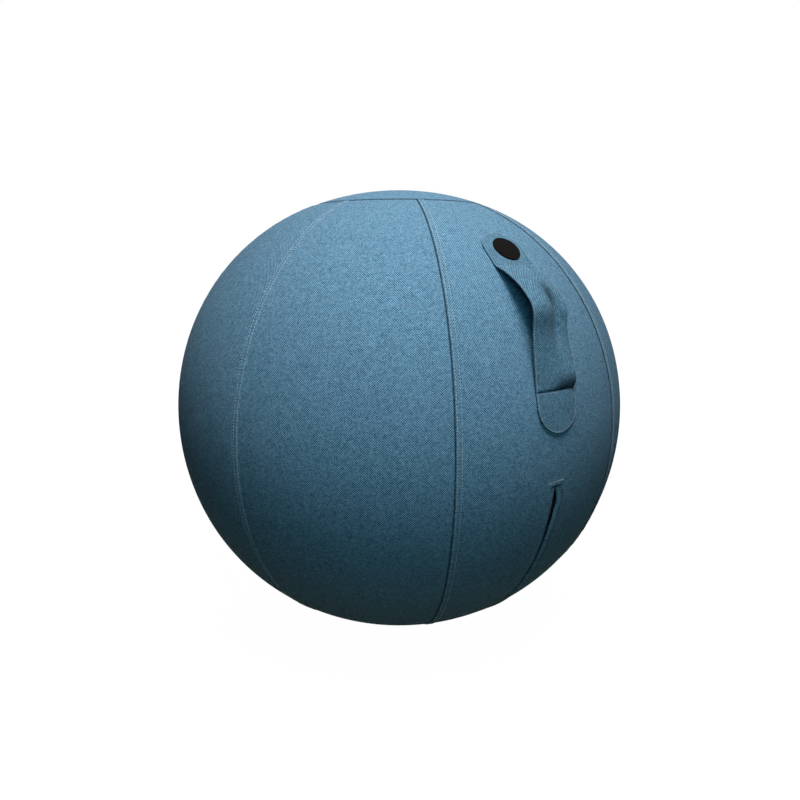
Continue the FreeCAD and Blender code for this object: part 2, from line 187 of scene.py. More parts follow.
def arcAt(angle):
    # the row of the arc that an angle from the top lies on
    return np.clip(np.searchsorted(arcs[:, 4], angle - 1e-9), 0, len(arcs) - 1)


def meridian(angle, lift=0.0):
    # radius and height at an angle from the top: the arc's centre plus (arc radius + lift) times
    # (sin, cos)
    row = arcAt(angle)
    reach = arcs[row, 2] + lift
    turn = np.radians(angle)
    return arcs[row, 0] + reach * np.sin(turn), equatorHeight + arcs[row, 1] + reach * np.cos(turn)


def angleAt(rise):
    # the angle from the top at a length of arc above the equator, which is negative below it
    length = fromTopToEquator - rise
    row = np.clip(np.searchsorted(arcEnds, length), 0, len(arcs) - 1)
    start = arcEnds[row] - arcLengths[row]
    return arcs[row, 3] + np.degrees((length - start) / arcs[row, 2])


def riseAt(angle):
    # the length of arc above the equator at an angle from the top
    row = arcAt(angle)
    start = arcEnds[row] - arcLengths[row]
    return fromTopToEquator - (start + arcs[row, 2] * np.radians(angle - arcs[row, 3]))


goreTop = riseAt(capAngle)
goreBottom = riseAt(180 - capAngle)


def onBall(azimuth, angle, lift=0.0):
    # a point over the cover: azimuth in degrees from the front towards +X, angle from the top,
    # height over it
    radius, height = meridian(angle, lift)
    turn = np.radians(azimuth)
    return np.stack(np.broadcast_arrays(radius * np.sin(turn), -radius * np.cos(turn), height), -1)


def onGore(across, rise, lift=0.0, gore=0):
    # the same for a place across a gore, in metres round the ball from its middle, and a rise
    # above the equator; the front gore is number 0
    angle = angleAt(rise)
    azimuth = np.degrees(across / meridian(angle)[0]) + gore * 360 / ball["goreCount"]
    return onBall(azimuth, angle, lift)


def goreWidth(rise):
    return meridian(angleAt(rise))[0] * 2 * np.pi / ball["goreCount"]


def nodeTools(tree):
    # empties a node tree, and gives functions for a node, a sum and a mix of two colours
    tree.nodes.clear()

    def add(kind, inputs=None, **settings):
        made = tree.nodes.new(kind)
        for key, value in settings.items():
            setattr(made, key, value)
        for key, value in (inputs or {}).items():
            if isinstance(value, bpy.types.NodeSocket):
                tree.links.new(value, made.inputs[key])
            else:
                made.inputs[key].default_value = value
        return made

    def calc(operation, a, b=0.0):
        return add("ShaderNodeMath", {0: a, 1: b}, operation=operation).outputs[0]

    def mix(share, a, b, blend="MIX"):
        inputs = {0: share, 6: a, 7: b}
        return add("ShaderNodeMix", inputs, data_type="RGBA", blend_type=blend).outputs[2]

    return add, calc, mix


def nodeKit(name):
    material = bpy.data.materials.new(name)
    material.use_nodes = True
    return material, *nodeTools(material.node_tree)


def finishSurface(add, tone, roughness, specular, height, strength, depth, more=None):
    # ends a material in a shader whose bump follows the height
    bump = add("ShaderNodeBump", {"Height": height, "Strength": strength, "Distance": depth})
    shader = add("ShaderNodeBsdfPrincipled", {
        "Base Color": tone, "Roughness": roughness, "Specular IOR Level": specular,
        "Normal": bump.outputs[0], **(more or {})})
    add("ShaderNodeOutputMaterial", {0: shader.outputs[0]})


def colour(red, green, blue):
    # a screen colour 0 to 255 as the linear colour that a shader takes
    part = np.array([red, green, blue]) / 255
    linear = np.where(part <= 0.04045, part / 12.92, ((part + 0.055) / 1.055) ** 2.4)
    return (*[float(v) for v in linear], 1.0)


heather = {
    "yarnPitch": 1.25 * mm, "light": colour(148, 203, 234), "dark": colour(6, 56, 88),
    "yarnContrast": 0.36, "yarnStride": 7.31, "yarnDrift": 0.21,
    "fleckShare": 0.3, "yarnShare": 0.85, "shadeShift": 0.12, "driftShare": 0.05,
    # painted shade: gapShade in the gaps between yarns, seamShade at seams, hems and hollows
    "driftScale": 30.0, "gapShade": 0.62, "gapWidth": 0.4, "seamShade": 0.75,
    "roughness": 0.95, "specular": 0.03, "bump": 0.35, "bumpDepth": 0.25 * mm, "fleckHeight": 0.3,
    "sheen": 0.04, "sheenRoughness": 0.45, "sheenTint": (0.55, 0.8, 1.0, 1.0),
}


def heatherCloth(name, h):
    # plain weave of two yarns: in each cell of the weave either the paler warp or the darker weft
    # lies on top, every cell has its own fleck of shade, and each yarn's shade drifts along it
    material, add, calc, mix = nodeKit(name)

    def times(a, b):
        return calc("MULTIPLY", a, b)

    def yarnDrift(yarn, length, seed):
        apart = {0: times(yarn, h["yarnStride"]), 1: times(length, h["yarnDrift"])}
        line = add("ShaderNodeCombineXYZ", apart).outputs[0]
        noise = {"Vector": line, "W": seed, "Scale": 1.0, "Detail": 1.0}
        return add("ShaderNodeTexNoise", noise, noise_dimensions="4D").outputs[0]

    place = add("ShaderNodeTexCoord").outputs["UV"]
    parts = add("ShaderNodeSeparateXYZ", {0: place}).outputs
    across = calc("DIVIDE", parts[0], h["yarnPitch"])
    along = calc("DIVIDE", parts[1], h["yarnPitch"])
    cellAcross = calc("FLOOR", across)
    cellAlong = calc("FLOOR", along)
    warpOnTop = calc("MODULO", calc("ABSOLUTE", calc("ADD", cellAcross, cellAlong)), 2.0)
    cell = add("ShaderNodeCombineXYZ", {0: cellAcross, 1: cellAlong}).outputs[0]
    flecks = add("ShaderNodeTexWhiteNoise", {"Vector": cell}, noise_dimensions="2D")
    fleck = flecks.outputs["Value"]
    warpShade = calc("ADD", yarnDrift(cellAcross, along, 1.0), h["yarnContrast"])
    weftShade = calc("SUBTRACT", yarnDrift(cellAlong, across, 7.0), h["yarnContrast"])
    yarn = calc("ADD", weftShade, times(warpOnTop, calc("SUBTRACT", warpShade, weftShade)))
    clouds = add("ShaderNodeTexNoise", {"Vector": place, "Scale": h["driftScale"], "Detail": 3.0})
    flecked = calc("ADD", times(fleck, h["fleckShare"]), times(yarn, h["yarnShare"]))
    drift = times(clouds.outputs[0], h["driftShare"])
    level = calc("ADD", calc("SUBTRACT", flecked, h["shadeShift"]), drift)
    body = mix(level, h["dark"], h["light"])
    # painted shade darkens the gaps between the round yarns, and the bump lowers them
    pillow = times(*[calc("ABSOLUTE", calc("SINE", times(run, np.pi))) for run in (across, along)])
    gap = add("ShaderNodeMapRange", {
        "Value": pillow, "From Min": 0.0, "From Max": h["gapWidth"], "To Min": h["gapShade"],
        "To Max": 1.0}).outputs[0]
    # painted shade: each point's share darkens the colour at seams, hems and hollows
    paintedShade = add("ShaderNodeAttribute", attribute_name="paintedShade").outputs["Fac"]
    dim = times(gap, calc("SUBTRACT", 1.0, times(paintedShade, h["seamShade"])))
    grey = add("ShaderNodeCombineColor", {0: dim, 1: dim, 2: dim}).outputs[0]
    finishSurface(add, mix(1.0, body, grey, "MULTIPLY"), h["roughness"], h["specular"],
                  calc("ADD", pillow, times(fleck, h["fleckHeight"])), h["bump"], h["bumpDepth"],
                  {"Sheen Weight": h["sheen"], "Sheen Roughness": h["sheenRoughness"],
                   "Sheen Tint": h["sheenTint"]})
    return material


def threadStuff(name, shade):
    # twisted thread: a fine slanting wave for its plies over a slightly uneven colour
    material, add, calc, mix = nodeKit(name)
    place = add("ShaderNodeTexCoord").outputs["Object"]
    twist = add("ShaderNodeTexWave", {"Vector": place, "Scale": 900.0, "Distortion": 1.5},
                bands_direction="DIAGONAL").outputs["Fac"]
    uneven = add("ShaderNodeTexNoise", {"Vector": place, "Scale": 260.0}).outputs[0]
    level = calc("ADD", calc("MULTIPLY", twist, 0.5), calc("MULTIPLY", uneven, 0.5))
    dark = tuple(0.62 * c for c in shade[:3]) + (1.0,)
    finishSurface(add, mix(level, dark, shade), 0.6, 0.1, twist, 0.4, 0.1 * mm)
    return material


def mouldedPlastic(name, shade, roughness, grain, depth, specular=0.3):
    # moulded or enamelled surface: fine grain in the bump, patches of wear in the roughness and
    # the colour
    material, add, calc, mix = nodeKit(name)
    place = add("ShaderNodeTexCoord").outputs["Object"]
    fine = add("ShaderNodeTexNoise", {"Vector": place, "Scale": grain, "Detail": 3.0}).outputs[0]
    broad = {"Vector": place, "Scale": grain / 14, "Detail": 2.0}
    wide = add("ShaderNodeTexNoise", broad).outputs[0]
    worn = tuple(min(1.0, 1.25 * c + 0.004) for c in shade[:3]) + (1.0,)
    tone = mix(calc("MULTIPLY", wide, 0.5), shade, worn)
    rough = add("ShaderNodeMapRange", {
        "Value": wide, "To Min": roughness - 0.08, "To Max": roughness + 0.1}).outputs[0]
    finishSurface(add, tone, rough, specular, fine, 0.3, depth)
    return material


def herringboneTape(name, dark, light):
    # woven zip tape: slanting ribs that turn back at each stripe along its length
    material, add, calc, mix = nodeKit(name)
    stripeWidth = 1.3 * mm
    ribPitch = 0.8 * mm
    place = add("ShaderNodeTexCoord").outputs["UV"]
    parts = add("ShaderNodeSeparateXYZ", {0: place}).outputs
    slant = calc("ADD", parts[1], calc("PINGPONG", parts[0], stripeWidth))
    rib = calc("SINE", calc("MULTIPLY", slant, 2 * np.pi / ribPitch))
    fibre = add("ShaderNodeTexNoise", {"Vector": place, "Scale": 1500.0, "Detail": 2.0}).outputs[0]
    tone = mix(calc("ADD", calc("MULTIPLY", rib, 0.2), fibre), dark, light)
    finishSurface(add, tone, 0.85, 0.1, rib, 0.4, 0.15 * mm)
    return material


coverCloth = heatherCloth("coverCloth", heather)
# painted shade: the strap's cloth is the cover's weave in darker tones
strapShadedTones = {"light": colour(134, 187, 215), "dark": colour(6, 50, 78)}
strapCloth = heatherCloth("strapCloth", heather | strapShadedTones)
liningTones = {"light": colour(70, 92, 104), "dark": colour(38, 56, 68)}
liningCloth = heatherCloth("liningCloth", heather | liningTones)
seamThread = threadStuff("seamThread", colour(190, 217, 228))
edgeThread = threadStuff("edgeThread", colour(184, 206, 214))
zipTapeCloth = herringboneTape("zipTapeCloth", colour(8, 18, 24), colour(20, 40, 50))
badgeCoat = mouldedPlastic("badgeCoat", colour(12, 10, 9), 0.7, 2400.0, 0.02 * mm, 0.03)
toothPlastic = mouldedPlastic("toothPlastic", colour(14, 28, 36), 0.5, 2600.0, 0.02 * mm, 0.1)
zipEnamel = mouldedPlastic("zipEnamel", colour(9, 13, 16), 0.5, 3200.0, 0.01 * mm, 0.1)
vinyl = mouldedPlastic("vinyl", colour(150, 156, 162), 0.38, 500.0, 0.05 * mm)
valvePlastic = mouldedPlastic("valvePlastic", colour(228, 227, 220), 0.4, 1600.0, 0.02 * mm)
gripRubber = mouldedPlastic("gripRubber", colour(42, 42, 45), 0.78, 900.0, 0.04 * mm)


def wear(thing, material):
    thing.data.materials.clear()
    thing.data.materials.append(material)
    return thing


def dress(thing, material, slotName, *nodes):
    # a piece that stays with the ball, in place of the nodes that it stands for
    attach(wear(thing, material), ballBody)
    if nodes:
        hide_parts(*nodes)


cover = {
    "thickness": 1.6 * mm, "allowance": 6 * mm, "clothShift": 0.4,
    # the line, wall, cap line and row widths below size painted shade along the seams
    "seamDip": 1.0 * mm, "seamHalfWidth": 0.9 * mm, "lineHalfWidth": 0.5 * mm,
    "capDip": 1.0 * mm, "capDipWidth": 3.5 * mm, "capWallWidth": 1.5 * mm, "capFade": 6 * mm,
    "capLineHalfWidth": 2.0 * mm, "capAllowance": 7 * mm, "capColumns": 193, "crownTip": 0.02,
    "feltWidth": 9.4 * mm, "feltRise": 0.75 * mm, "feltStep": 1.2 * mm, "feltStart": 0.2 * mm,
    "wallPlace": 0.3 * mm, "wallHalfWidth": 0.68 * mm, "widerShadeGore": 1, "widerShadeShare": 2.2,
    "stitchRows": (2.6 * mm, 7.4 * mm), "stitchDip": 0.3 * mm, "stitchDipWidth": 0.7 * mm,
    "rowShade": 0.16, "rowShadeWidth": 0.9 * mm,
    "puckerDepth": 0.16 * mm, "puckerReach": 16 * mm, "puckerStart": 2 * mm,
    "rows": 210, "innerColumns": 34, "frontColumns": 18,
}
# distances of the columns from the left seam, the right seam and the slit, and of the rows and
# rings from the cap seams
nearSeam = np.array([
    0.0, 0.3, 0.6, 0.9, 1.3, 1.8, 2.2, 2.6, 3.0, 3.5, 4.4, 5.5, 6.4, 7.0, 7.4, 7.8, 8.3, 8.8,
    9.3, 9.8, 10.5, 12.0, 15.0, 20.0]) * mm
beforeSeam = np.array([0.0, 0.3, 0.6, 0.9, 1.3, 1.9, 3.0, 5.0, 9.0, 14.0]) * mm
nearSlit = np.array([
    0, 0.4, 0.8, 1.3, 1.9, 2.6, 3.4, 4.3, 5.2, 6.0, 6.6, 7.0, 7.3, 7.7, 8.2, 9.0, 10.5, 13, 16,
    20, 24]) * mm
nearCap = np.array([0.0, 0.3, 0.6, 0.9, 1.3, 2.0, 3.2, 5.0]) * mm
capRings = np.array([0.0, 0.3, 0.6, 0.9, 1.3, 2.0, 3.2, 5.0, 8.0]) * mm
slitTopRise = -15.0 * mm


def seamRelief(fromLeft, fromRight, fromEnd, rise, index):
    # dips at the seams, the folded allowance to the right of the left seam, the pull of its two
    # stitch rows, and small puckers that fade away from the seam
    c = cover
    seams = bell(fromLeft, 0, c["seamHalfWidth"]) + bell(fromRight, 0, c["seamHalfWidth"])
    lift = -c["seamDip"] * seams - c["capDip"] * bell(fromEnd, 0, c["capDipWidth"])
    fade = smoothStep(0, c["capFade"], fromEnd)
    feltEnd = smoothStep(c["feltWidth"] - c["feltStep"], c["feltWidth"], fromLeft)
    plateau = smoothStep(c["feltStart"], c["feltStep"], fromLeft) * (1 - feltEnd)
    lift = lift + c["feltRise"] * plateau * fade
    for row in c["stitchRows"]:
        lift = lift - c["stitchDip"] * bell(fromLeft, row, c["stitchDipWidth"]) * fade
    wave = (np.sin(rise / (2.3 * mm) + index)
            + 0.7 * np.sin(rise / (3.9 * mm) + 2.1 * index + 1))
    near = np.exp(-fromLeft / c["puckerReach"]) + 0.5 * np.exp(-fromRight / c["puckerReach"])
    start = smoothStep(0, c["puckerStart"], fromLeft)
    return lift + c["puckerDepth"] * wave * near * fade * start


def seamShade(fromLeft, fromRight, fromEnd, index):
    # painted shade: the dark line where two panels meet, and faint ones along the two stitch rows
    c = cover
    # the painted shade on the left seam of one gore is drawn wider
    wall = c["wallHalfWidth"] * (c["widerShadeShare"] if index == c["widerShadeGore"] else 1)
    sides = np.maximum(bell(fromLeft, c["wallPlace"], wall), bell(fromRight, 0, c["lineHalfWidth"]))
    line = np.maximum(sides, bell(fromEnd, 0, c["capLineHalfWidth"]))
    rows = sum(bell(fromLeft, row, c["rowShadeWidth"]) for row in c["stitchRows"])
    return np.clip(line + c["rowShade"] * rows, 0, 1)


def goreRows():
    # rises above the equator, closer together at both cap seams
    middle = np.linspace(goreTop - nearCap[-1], goreBottom + nearCap[-1], cover["rows"])[1:-1]
    return np.concatenate([goreTop - nearCap, middle, goreBottom + nearCap[::-1]])


def finishCover(piece, node):
    # a piece of the cover, stretched over the ball inside
    dress(thicken(piece, cover["thickness"]), coverCloth, coverSlot, node)


def makeGore(name, index, node):
    # grid of one gore: fixed columns beside its seams and even ones between them
    c = cover
    rise = goreRows()[:, None]
    width = goreWidth(rise)
    inner = np.linspace(0, 1, c["innerColumns"])[1:-1]
    span = width - nearSeam[-1] - beforeSeam[-1]
    fromLeft = np.concatenate([
        nearSeam + 0 * width, nearSeam[-1] + span * inner, width - beforeSeam[::-1]], 1)
    fromRight = width - fromLeft
    fromEnd = np.minimum(goreTop - rise, rise - goreBottom)
    across = fromLeft - width / 2
    lift = seamRelief(fromLeft, fromRight, fromEnd, rise, index)
    points = onGore(across, rise, lift, index)
    # painted shade along the seams
    shade = seamShade(fromLeft, fromRight, fromEnd, index)
    gore = gridObject(name, points, pair(across + c["clothShift"] * index, rise), shade)
    finishCover(gore, node)


slit = {
    "rollRadius": 1.75 * mm, "rollStart": 9 * mm, "lipRise": 1.9 * mm, "lipRoundness": 0.8,
    "leftStrength": 0.3, "baseStrength": 0.3, "baseRise": (-290 * mm, -190 * mm),
    "hemLine": 7.2 * mm, "hemDip": 0.8 * mm, "hemDipWidth": 0.9 * mm,
    # the hem and under shades are painted shade along the hems and under the rolled lips
    "rightHemShade": 0.75, "leftHemShade": 0.2, "hemShadeWidth": 0.8 * mm, "underShade": 0.6,
    "foldUnder": np.array([1.5, 4, 8]) * mm, "flatWidth": 270 * mm,
    "topRows": np.array([0, 0.6, 1.2, 2, 3, 4.5, 6, 8, 10.5, 13]) * mm,
    "rollTurns": np.radians([22, 45, 67, 90, 112, 135, 158, 180]),
    # rise above the equator and the places of the two lips' edges there
    "knots": np.array([
        -300, -262, -220, -180, -136, -100, -76, -60, -48, -38, -28, -20, -15.0]) * mm,
    "leftLip": np.array([
        -1.7, -1.7, -1.7, -1.7, -1.7, -1.7, -2.0, -2.2, -2.2, -2.1, -1.5, -0.5, 0.0]) * mm,
    "rightLip": np.array([
        1.7, 1.7, 1.7, 1.7, 1.7, 1.9, 2.8, 3.8, 4.7, 5.0, 3.0, 0.7, 0.0]) * mm,
}


def slitEdges(rise):
    # the places of the two lips, and the radius of their rolls
    lips = [curveThrough(slit["knots"], slit[side], rise) for side in ("leftLip", "rightLip")]
    return *lips, slit["rollRadius"] * smoothStep(0, slit["rollStart"], slitTopRise - rise)


def frontRelief(across, rise, lipLeft, lipRight):
    # each lip swells beside the slit and dips again along its hem stitches, right more than left,
    # and both lie flatter towards the base
    s = slit
    low = 1 - smoothStep(slitTopRise - 22 * mm, slitTopRise - 2 * mm, rise)
    low = low * (s["baseStrength"] + (1 - s["baseStrength"]) * smoothStep(*s["baseRise"], rise))
    right = across > (lipLeft + lipRight) / 2
    lip = np.where(right, across - lipRight, lipLeft - across)
    strength = np.where(right, 1.0, s["leftStrength"]) * low
    swell = s["lipRise"] * np.sin(np.pi * np.clip(lip / s["hemLine"], 0, 1)) ** s["lipRoundness"]
    return strength * (swell - s["hemDip"] * bell(lip, s["hemLine"], s["hemDipWidth"]))


def frontHalf(rise, side, isOpen):
    # one side of the front gore: columns from the slit's edge, or the middle above it, to the seam
    s = slit
    rise = rise[:, None]
    width = goreWidth(rise) / 2
    lipLeft, lipRight, roll = slitEdges(rise) if isOpen else (0 * rise,) * 3
    edge = lipRight + roll if side > 0 else roll - lipLeft
    seam = beforeSeam if side > 0 else nearSeam
    inner = np.linspace(0, 1, cover["frontColumns"])[1:-1]
    span = width - edge - nearSlit[-1] - seam[-1]
    fromMiddle = np.concatenate([
        edge + nearSlit, edge + nearSlit[-1] + span * inner, width - seam[::-1]], 1)
    across = side * fromMiddle
    fromLeft = across + width
    fromRight = 2 * width - fromLeft
    fromEnd = np.minimum(goreTop - rise, rise - goreBottom)
    lift = seamRelief(fromLeft, fromRight, fromEnd, rise, 0)
    lift = lift + frontRelief(across, rise, lipLeft, lipRight)
    # painted shade along the seams
    paintedShade = seamShade(fromLeft, fromRight, fromEnd, 0)
    if isOpen:
        # painted shade along the hem stitches, darker on the right
        hemShade = s["rightHemShade"] if side > 0 else s["leftHemShade"]
        hemShade = hemShade * smoothStep(slitTopRise - 1 * mm, slitTopRise - 7 * mm, rise)
        hem = hemShade * bell(fromMiddle - edge, s["hemLine"], s["hemShadeWidth"])
        paintedShade = np.maximum(paintedShade, hem)
        # the roll: half a circle over the edge, then a run back under the cover, in painted shade
        # that deepens round the roll and lies under it
        turn = s["rollTurns"]
        rolled = across[:, :1] - side * roll * np.sin(turn)
        rollLift = lift[:, :1] - roll * (1 - np.cos(turn))
        under = across[:, :1] + side * s["foldUnder"]
        underLift = rollLift[:, -1:] + 0 * under
        rollShade = 0.25 * (1 - np.cos(turn[::-1])) + 0 * rolled
        across = np.concatenate([under[:, ::-1], rolled[:, ::-1], across], 1)
        lift = np.concatenate([underLift, rollLift[:, ::-1], lift], 1)
        paintedShade = np.concatenate([s["underShade"] + 0 * under, rollShade, paintedShade], 1)
    return [grid[:, ::side] for grid in (onGore(across, rise, lift), pair(across, rise), paintedShade)]


def makeFrontGore(name, node):
    # two grids down to the slit's top, then two that end in lips rolled over and folded under
    rows = goreRows()
    upper = np.append(rows[rows > slitTopRise + 0.5 * mm], slitTopRise)
    slitTop = slitTopRise - slit["topRows"]
    lower = np.concatenate([slitTop, rows[rows < slitTop[-1] - 1.5 * mm]])
    points, cloth, shade, faces, area, count = [], [], [], [], 0.0, 0
    for rise, isOpen in ((upper, False), (lower, True)):
        for side in (-1, 1):
            patch, flat, paintedShade = frontHalf(rise, side, isOpen)
            faces.append(gridFaces(*patch.shape[:2], start=count))
            count += paintedShade.size
            area += surfaceArea(patch)
            points.append(patch.reshape(-1, 3))
            cloth.append(flat.reshape(-1, 2))
            shade.append(paintedShade.ravel())
    gore = meshObject(name, *map(np.concatenate, (points, faces, cloth, shade)))
    finishCover(weld(gore), node)


def makeCap(name, node, atTop):
    # rings of the meridian turned once round, with a dip at the seam
    c = cover
    if atTop:
        rise = goreTop + capRings
        inside = np.linspace(c["crownTip"], angleAt(rise[-1]), 34)[:-1]
        angle = np.concatenate([inside, angleAt(rise[::-1])])
    else:
        rise = goreBottom - capRings
        inside = np.linspace(angleAt(rise[-1]), 180, 24)[1:]
        angle = np.concatenate([angleAt(rise), inside])
    lift = -c["capDip"] * bell(riseAt(angle), rise[0], c["capWallWidth"])
    radius, height = meridian(angle, lift)
    if atTop:
        radius = np.append(0.0, radius)
        height = np.append(height[0], height)
    else:
        flatRings = np.linspace(radius[-1], 0, 12)[1:]
        radius = np.append(radius, flatRings)
        height = np.append(height, np.full(len(flatRings), height[-1]))
    turn = np.linspace(0, 2 * np.pi, c["capColumns"])
    x = radius[:, None] * np.sin(turn)
    y = -radius[:, None] * np.cos(turn)
    points = np.stack([x, y, np.broadcast_to(height[:, None], x.shape)], -1)
    steps = np.hypot(np.diff(radius), np.diff(height))
    fromSeam = np.append(0, np.cumsum(steps))
    if atTop:
        fromSeam = fromSeam[-1] - fromSeam
    # painted shade along the cap's seam
    shade = bell(fromSeam, 0, c["capLineHalfWidth"])[:, None]
    cap = weld(gridObject(name, points, pair(x, y), shade))
    finishCover(cap, node)


innerBall = {
    "depth": 2.8 * mm, "wall": 1.6 * mm, "ribPitch": 24 * mm, "ribRise": 0.35 * mm,
    "ribReach": 200 * mm, "troughHalfWidth": 15.2 * mm, "troughDepth": 7.6 * mm,
    "troughTop": (-17 * mm, -7 * mm), "troughEnd": (-384 * mm, -377 * mm), "troughSpan": 6,
}


def makeInnerBall(name, node):
    # the cover's form moved inwards, with a long dent for the zip and low ribs round it
    b = innerBall
    angle = np.concatenate([
        np.linspace(0.0, 88, 60), np.linspace(89, 166, 110)[1:], np.linspace(167, 180, 12)])
    azimuth = np.concatenate([
        np.linspace(-b["troughSpan"], b["troughSpan"], 49),
        np.linspace(b["troughSpan"], 360 - b["troughSpan"], 120)[1:]])
    fromFront = np.where(azimuth > 180, azimuth - 360, azimuth)
    across = np.radians(fromFront) * meridian(angle)[0][:, None]
    rise = riseAt(angle)[:, None]
    wallFoot = b["troughHalfWidth"] - 9 * mm
    side = 1 - smoothStep(wallFoot, b["troughHalfWidth"] + 1 * mm, np.abs(across))
    along = (1 - smoothStep(*b["troughTop"], rise)) * smoothStep(*b["troughEnd"], rise)
    ribs = np.cos(2 * np.pi * rise / b["ribPitch"]) ** 12 * (np.abs(rise) < b["ribReach"])
    lift = -b["depth"] - b["troughDepth"] * side * along - b["ribRise"] * (1 - ribs)
    points = onBall(azimuth, angle[:, None], lift)
    # the flat underneath, in rings that close on its middle
    rings = np.linspace(1, 0, 9)[1:, None, None]
    flat = points[-1] * np.array([1, 1, 0]) * rings + points[-1] * np.array([0, 0, 1])
    points = np.concatenate([points, flat])
    shell = weld(gridObject(name, points, points[..., ::2]))
    dress(thicken(shell, b["wall"]), vinyl, "bladder_vinyl", node)


sides = ("front", "front_right", "right", "back_right", "back", "back_left", "left", "front_left")


def sideName(start, side):
    return start + side.title().replace("_", "")


makeInnerBall("innerBall", "bladder")
makeFrontGore("goreFront", "panel_front")
for number, side in enumerate(sides[1:], 1):
    makeGore(sideName("gore", side), number, "panel_" + side)
makeCap("topCap", "top_cap", True)
makeCap("baseCap", "base_cap", False)
print("cover made")


stitchShape = {"rings": 5, "sides": 6, "tip": 1.06, "taper": 0.85, "sink": 0.25, "endDrop": 0.45}
# each row's pitch, the share of it that a stitch fills, and its thickness
stitches = {
    "seam": (3.6 * mm, 0.74, 0.72 * mm), "hem": (3.0 * mm, 0.78, 0.5 * mm),
    "bar": (2.1 * mm, 0.9, 0.5 * mm), "strapEdge": (2.6 * mm, 0.76, 0.55 * mm),
    "tightEdge": (2.6 * mm, 0.76, 0.3 * mm), "strapEnd": (2.8 * mm, 0.7, 0.35 * mm),
}


def stitchForm():
    # a stitch from -1 to 1: rings along it whose radius is the square root of 1 less a share of
    # the place cubed, closed by a point at each end
    s = stitchShape
    rings, sides = s["rings"], s["sides"]
    along = np.linspace(-1, 1, rings)
    thick = np.sqrt(1 - s["taper"] * np.abs(along) ** 3)
    turn = np.linspace(0, 2 * np.pi, sides, endpoint=False)
    ring = np.stack([np.cos(turn), np.sin(turn)], -1)
    places = np.broadcast_to(along[:, None, None], (rings, sides, 1))
    points = np.concatenate([places, thick[:, None, None] * ring[None]], -1)
    points = np.concatenate([points.reshape(-1, 3), [[-s["tip"], 0, 0], [s["tip"], 0, 0]]])
    index = np.arange(rings * sides).reshape(rings, sides)
    following = np.roll(index, -1, 1)
    quads = np.stack([index[:-1], following[:-1], following[1:], index[1:]], -1).reshape(-1, 4)
    start = np.stack([np.full(sides, rings * sides), following[0], index[0]], -1)
    end = np.stack([np.full(sides, rings * sides + 1), index[-1], following[-1]], -1)
    return points, np.concatenate([quads[:, [0, 1, 2]], quads[:, [0, 2, 3]], start, end])


def threadRun(path, up, pitch, fill, thickness):
    # stitches laid along a path of points: each is the form stretched from its start to its end,
    # with its cross axes along the surface and along up
    step = np.linalg.norm(np.diff(path, axis=0), axis=1)
    length = np.append(0, np.cumsum(step))
    count = max(1, int(length[-1] / pitch))
    starts = (np.arange(count) + 0.5 * (1 - fill)) * length[-1] / count
    ends = starts + fill * length[-1] / count

    def readAt(places, values):
        return np.stack([np.interp(places, length, values[:, axis]) for axis in range(3)], -1)

    a, b, u = readAt(starts, path), readAt(ends, path), readAt((starts + ends) / 2, up)
    u /= np.linalg.norm(u, axis=1, keepdims=True)
    ahead = (b - a) / 2
    side = np.cross(u, ahead / np.linalg.norm(ahead, axis=1, keepdims=True))
    side /= np.linalg.norm(side, axis=1, keepdims=True)
    points, triangles = stitchForm()
    middle = (a + b) / 2 + u * thickness * (0.5 - stitchShape["sink"])
    placed = (middle[:, None] + points[None, :, :1] * ahead[:, None]
              + points[None, :, 1:2] * side[:, None] * thickness / 2
              + points[None, :, 2:] * u[:, None] * thickness / 2)
    # the middle of a stitch stands up and its ends go into the cloth
    placed = placed - u[:, None] * thickness * stitchShape["endDrop"] * points[None, :, :1] ** 2
    faces = triangles[None] + (np.arange(count) * len(points))[:, None, None]
    return placed.reshape(-1, 3), faces.reshape(-1, 3)


def goreStitches(kind, across, rise, lift, gore=0, part=slice(None)):
    # a row of stitches on a gore, standing up along its outward directions
    path = onGore(across, rise, lift, gore)
    up = onGore(across, rise, lift + mm, gore) - path
    return threadRun(path[part], up[part], *stitches[kind])


def joinRuns(name, runs):
    # one mesh from several runs of thread
    starts = np.cumsum([0] + [len(points) for points, _ in runs[:-1]])
    faces = np.concatenate([run[1] + start for run, start in zip(runs, starts)])
    return meshObject(name, np.concatenate([points for points, _ in runs]), faces)


def makeSeamThreads(name, index):
    # two rows of stitches down the felled edge to the right of the gore's left seam
    rise = np.linspace(goreTop - 4 * mm, goreBottom + 4 * mm, 900)
    width = goreWidth(rise)
    farFromEnd = np.full(len(rise), 20 * mm)
    runs = []
    for row in cover["stitchRows"]:
        fromLeft = np.full(len(rise), row)
        lift = seamRelief(fromLeft, width - fromLeft, farFromEnd, rise, index)
        runs.append(goreStitches("seam", fromLeft - width / 2, rise, lift, index))
    dress(joinRuns(name, runs), seamThread, coverSlot)


for number, side in enumerate(sides):
    makeSeamThreads(sideName("seamThread", side), number)
print("seams stitched")


zipArc = {
    "centreY": -15.6885 * mm, "centreZ": 304.1113 * mm, "radius": 302.1802 * mm,
    "first": 93.0, "last": 158.0, "tapeInner": 3.4 * mm, "tapeOuter": 13.5 * mm,
    # wall, height beside the teeth, step up to the fold of the slit and where it lies
    "tape": (0.6 * mm, 0.3 * mm, 2.3 * mm, 6.0 * mm, 9.2 * mm),
    "guard": (0.8 * mm, -2.9 * mm, 4.5 * mm, 6.0 * mm, 10.4 * mm), "guardHalfWidth": 14.5 * mm,
}


def onZip(across, angle, height):
    # a point of the zip's arc: its place across, its angle from straight up and its height over
    # the chain
    reach = zipArc["radius"] + height
    turn = np.radians(angle)
    return np.stack(np.broadcast_arrays(across, zipArc["centreY"] - reach * np.sin(turn),
                                        zipArc["centreZ"] + reach * np.cos(turn)), -1)


